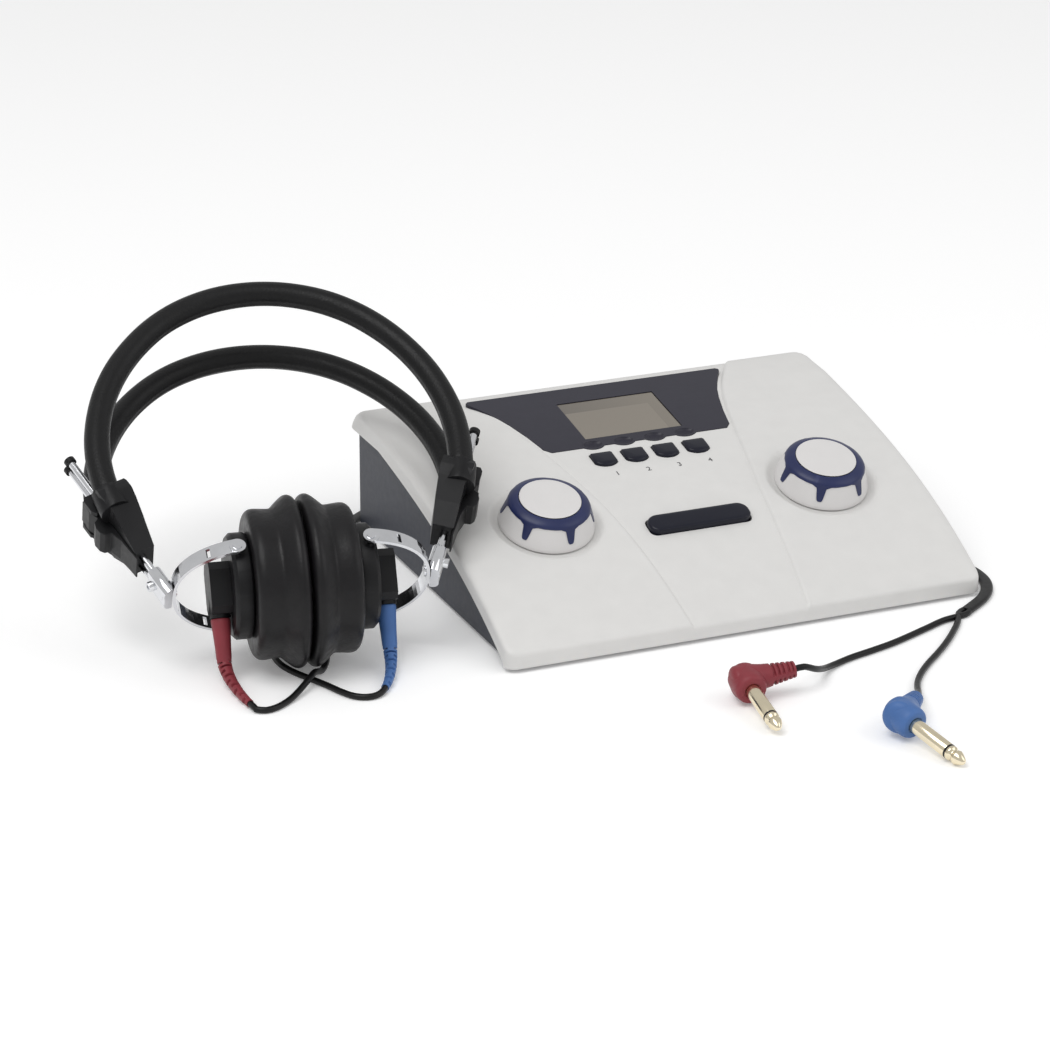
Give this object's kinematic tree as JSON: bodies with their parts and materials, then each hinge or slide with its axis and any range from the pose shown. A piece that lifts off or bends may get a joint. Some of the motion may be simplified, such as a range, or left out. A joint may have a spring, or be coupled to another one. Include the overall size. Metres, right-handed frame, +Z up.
{
  "type": "audiometer",
  "caption": "Sloping desktop hearing-test unit with a display, keys, a tone bar and round dials, its double-band headset leaning on it and two right-angle phone plugs.",
  "frame": {"origin": "centre of the unit's footprint on the surface it stands on", "axes": "+Z up, +Y from the unit's front lip to its rear, +X to the unit's right; the headset lies on the -X side"},
  "size_m": [0.4011, 0.4413, 0.1312],
  "materials": {
    "shell": "fine satin, pale warm grey",
    "slate": "satin dark slate",
    "panel": "dark smoked front panel",
    "lens": "clear display window",
    "lcd": "unlit reflective display",
    "board": "green circuit board",
    "switch": "black switch bodies",
    "metal": "plated steel",
    "rubber": "matt black rubber",
    "black_plastic": "satin black",
    "key": "satin blue-black",
    "navy": "satin navy",
    "chrome": "bright chrome",
    "leather": "soft black leather-like cover",
    "cushion": "soft black cushion",
    "lead": "flexible black sheath",
    "red_plastic": "satin red",
    "blue_plastic": "satin blue",
    "plug_red": "satin red body with a pale gold shaft",
    "plug_blue": "satin blue body with a pale gold shaft"
  },
  "bodies": {
    "unit": {"top_shell": "shell", "base_housing": "slate", "display_panel": "panel", "display_lens": "lens", "display_module": "lcd", "main_board": "board", "key_switches": "switch", "encoder_bodies": "metal", "feet": "rubber", "screws": "metal", "phone_jacks": "black_plastic", "power_inlet": "black_plastic", "band_pad_front": "leather", "band_pad_rear": "leather", "band_spring_front": "metal", "band_spring_rear": "metal", "holder_left": "black_plastic", "holder_right": "black_plastic", "lever_pins": "metal", "boot_red": "red_plastic", "boot_blue": "blue_plastic", "lead_red_near": "lead", "lead_blue_near": "lead", "lead_joint": "lead", "lead_coil_in": "lead", "lead_coil": "lead", "lead_coil_out": "lead", "lead_red_tail": "lead", "lead_blue_tail": "lead", "plug_red": "plug_red", "plug_blue": "plug_blue"},
    "key_1": {"key_1": "key"},
    "key_2": {"key_2": "key"},
    "key_3": {"key_3": "key"},
    "key_4": {"key_4": "key"},
    "tone_bar": {"tone_bar": "key"},
    "knob_left": {"knob_left_skin": "shell", "knob_left_core": "navy", "knob_left_shaft": "metal"},
    "knob_right": {"knob_right_skin": "shell", "knob_right_core": "navy", "knob_right_shaft": "metal"},
    "lever_left": {"lever_left": "black_plastic"},
    "slider_left": {"slider_left": "chrome", "clevis_left": "chrome"},
    "yoke_left": {"stirrup_left": "chrome"},
    "cup_left": {"case_left": "black_plastic", "cushion_left": "cushion", "socket_left": "black_plastic", "sleeve_red": "red_plastic"},
    "lever_right": {"lever_right": "black_plastic"},
    "slider_right": {"slider_right": "chrome", "clevis_right": "chrome"},
    "yoke_right": {"stirrup_right": "chrome"},
    "cup_right": {"case_right": "black_plastic", "cushion_right": "cushion", "socket_right": "black_plastic", "sleeve_blue": "blue_plastic"}
  },
  "joints": [
    {"name": "key_1_press", "type": "slide", "parent": "unit", "child": "key_1", "axis": [0, 0.2205, -0.9754], "range_m": [0, 0.0012], "stiffness_N_per_m": 120, "springref_m": -0.004},
    {"name": "key_2_press", "type": "slide", "parent": "unit", "child": "key_2", "axis": [0, 0.2205, -0.9754], "range_m": [0, 0.0012], "stiffness_N_per_m": 120, "springref_m": -0.004},
    {"name": "key_3_press", "type": "slide", "parent": "unit", "child": "key_3", "axis": [0, 0.2205, -0.9754], "range_m": [0, 0.0012], "stiffness_N_per_m": 120, "springref_m": -0.004},
    {"name": "key_4_press", "type": "slide", "parent": "unit", "child": "key_4", "axis": [0, 0.2205, -0.9754], "range_m": [0, 0.0012], "stiffness_N_per_m": 120, "springref_m": -0.004},
    {"name": "tone_bar_press", "type": "slide", "parent": "unit", "child": "tone_bar", "axis": [0, 0.3429, -0.9394], "range_m": [0, 0.0014], "stiffness_N_per_m": 150, "springref_m": -0.005},
    {"name": "knob_left_turn", "type": "hinge", "parent": "unit", "child": "knob_left", "pos_m": [-0.068, -0.0276, 0.03831], "axis": [0, -0.3051, 0.9523], "continuous": true},
    {"name": "knob_right_turn", "type": "hinge", "parent": "unit", "child": "knob_right", "pos_m": [0.068, -0.0276, 0.03831], "axis": [0, -0.3051, 0.9523], "continuous": true},
    {"name": "lever_left_lock", "type": "hinge", "parent": "unit", "child": "lever_left", "pos_m": [-0.26486, 0.0073, 0.05837], "axis": [0.0853, 0.4648, -0.8813], "range_deg": [0, 25]},
    {"name": "slider_left_slide", "type": "slide", "parent": "unit", "child": "slider_left", "axis": [0.2379, -0.8685, -0.435], "range_m": [-0.002, 0.014], "deforming": ["boot_red", "lead_red_near", "cushion_left", "cushion_right"]},
    {"name": "yoke_left_swivel", "type": "hinge", "parent": "slider_left", "child": "yoke_left", "pos_m": [-0.24488, -0.03689, 0.037], "axis": [-0.9836, 0.1805, 0], "range_deg": [-30, 30], "deforming": ["boot_red", "lead_red_near"]},
    {"name": "cup_left_tilt", "type": "hinge", "parent": "yoke_left", "child": "cup_left", "pos_m": [-0.21763, -0.04189, 0.037], "axis": [-0.0853, -0.4648, 0.8813], "range_deg": [-12, 12], "deforming": ["boot_red", "lead_red_near", "cushion_left", "cushion_right"]},
    {"name": "lever_right_lock", "type": "hinge", "parent": "unit", "child": "lever_right", "pos_m": [-0.10035, -0.02289, 0.05837], "axis": [-0.0853, -0.4648, 0.8813], "range_deg": [0, 25]},
    {"name": "slider_right_slide", "type": "slide", "parent": "unit", "child": "slider_right", "axis": [-0.5308, -0.7274, -0.435], "range_m": [-0.002, 0.014], "deforming": ["boot_blue", "lead_blue_near", "cushion_left", "cushion_right"]},
    {"name": "yoke_right_swivel", "type": "hinge", "parent": "slider_right", "child": "yoke_right", "pos_m": [-0.13472, -0.05711, 0.037], "axis": [0.9836, -0.1805, 0], "range_deg": [-30, 30], "deforming": ["boot_blue", "lead_blue_near"]},
    {"name": "cup_right_tilt", "type": "hinge", "parent": "yoke_right", "child": "cup_right", "pos_m": [-0.16196, -0.05211, 0.037], "axis": [-0.0853, -0.4648, 0.8813], "range_deg": [-12, 12], "deforming": ["boot_blue", "lead_blue_near", "cushion_left", "cushion_right"]}
  ]
}
